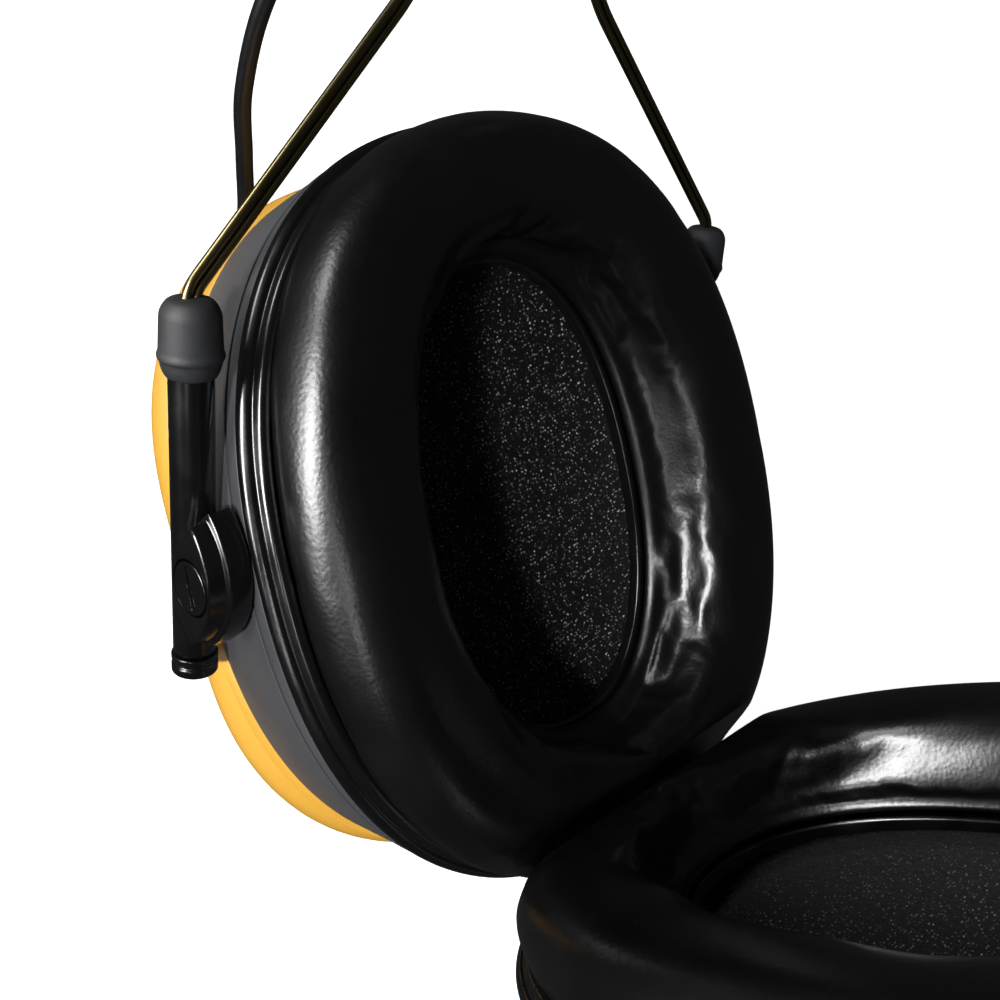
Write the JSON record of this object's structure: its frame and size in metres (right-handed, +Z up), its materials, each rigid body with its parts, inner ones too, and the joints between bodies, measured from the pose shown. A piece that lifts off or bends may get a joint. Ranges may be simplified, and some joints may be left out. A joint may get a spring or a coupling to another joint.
{
  "type": "hearing protection earmuffs",
  "caption": "Over-the-head hearing protection earmuffs: twin-wire spring headband, sliding and tilting ear cups with soft cushions, and a cable between the cups.",
  "frame": {"origin": "on the table, under the middle of the headband, between the two cups", "axes": "+Z up through the headband, X from ear to ear with the left cup at -X, Y from the front of the head (-Y) to the back (+Y)"},
  "size_m": [0.21, 0.1078, 0.2366],
  "materials": {
    "yellow_abs": "satin moulded ABS",
    "charcoal_abs": "fine matte moulded ABS",
    "black_abs": "polished moulded ABS",
    "cushion_vinyl": "grained glossy vinyl",
    "liner_foam": "open-cell foam",
    "soft_rubber": "matte moulded rubber",
    "spring_wire": "bronze-tinted spring steel",
    "plain_steel": "plain",
    "circuit_board": "green solder mask",
    "cell_sleeve": "printed-free plastic sleeve"
  },
  "bodies": {
    "headband": {"front_outer_wire": "spring_wire", "front_inner_wire": "spring_wire", "rear_outer_wire": "spring_wire", "rear_inner_wire": "spring_wire", "headband_cover": "cushion_vinyl", "headband_cushion": "cushion_vinyl", "cable_over_head": "soft_rubber", "left_cable_tail": "soft_rubber", "right_cable_tail": "soft_rubber", "left_front_tube": "black_abs", "left_front_cap": "soft_rubber", "left_front_end_stop": "black_abs", "left_rear_tube": "black_abs", "left_rear_cap": "soft_rubber", "left_rear_end_stop": "black_abs", "right_front_tube": "black_abs", "right_front_cap": "soft_rubber", "right_front_end_stop": "black_abs", "right_rear_tube": "black_abs", "right_rear_cap": "soft_rubber", "right_rear_end_stop": "black_abs"},
    "left_yoke": {"left_front_pivot_clip": "black_abs", "left_front_pivot_pin": "black_abs", "left_rear_pivot_clip": "black_abs", "left_rear_pivot_pin": "black_abs"},
    "right_yoke": {"right_front_pivot_clip": "black_abs", "right_front_pivot_pin": "black_abs", "right_rear_pivot_clip": "black_abs", "right_rear_pivot_pin": "black_abs"},
    "left_cup": {"left_outer_shell": "yellow_abs", "left_cup_body": "charcoal_abs", "left_clip_ring": "black_abs", "left_cushion_plate": "black_abs", "left_ear_cushion": "cushion_vinyl", "left_foam_liner": "liner_foam", "left_speaker_baffle": "black_abs", "left_speaker": "plain_steel", "left_cable_gland": "soft_rubber"},
    "right_cup": {"right_outer_shell": "yellow_abs", "right_cup_body": "charcoal_abs", "right_clip_ring": "black_abs", "right_cushion_plate": "black_abs", "right_ear_cushion": "cushion_vinyl", "right_foam_liner": "liner_foam", "right_speaker_baffle": "black_abs", "right_speaker": "plain_steel", "right_cable_gland": "soft_rubber", "circuit_board": "circuit_board", "volume_potentiometer": "plain_steel", "battery_1": "cell_sleeve", "battery_2": "cell_sleeve"},
    "volume_knob": {"volume_knob": "charcoal_abs"},
    "battery_door": {"battery_door": "yellow_abs"}
  },
  "joints": [
    {"name": "left_slide", "type": "slide", "parent": "headband", "child": "left_yoke", "axis": [-0.3206, 0, 0.9472], "range_m": [0, 0.01], "deforming": ["left_cable_tail"]},
    {"name": "right_slide", "type": "slide", "parent": "headband", "child": "right_yoke", "axis": [0.3206, 0, 0.9472], "range_m": [0, 0.01], "deforming": ["right_cable_tail"]},
    {"name": "left_tilt", "type": "hinge", "parent": "left_yoke", "child": "left_cup", "pos_m": [-0.04328, 0, 0.04977], "axis": [0, 1, 0], "range_deg": [0, 30]},
    {"name": "right_tilt", "type": "hinge", "parent": "right_yoke", "child": "right_cup", "pos_m": [0.04328, 0, 0.04977], "axis": [0, -1, 0], "range_deg": [0, 30]},
    {"name": "volume_turn", "type": "hinge", "parent": "right_cup", "child": "volume_knob", "pos_m": [0.07859, -0.023, 0.04115], "axis": [-0.723, 0, 0.6909], "range_deg": [0, 270]},
    {"name": "battery_door_hinge", "type": "hinge", "parent": "right_cup", "child": "battery_door", "pos_m": [0.08606, 0, 0.04622], "axis": [0, -1, 0], "range_deg": [0, 100]}
  ]
}
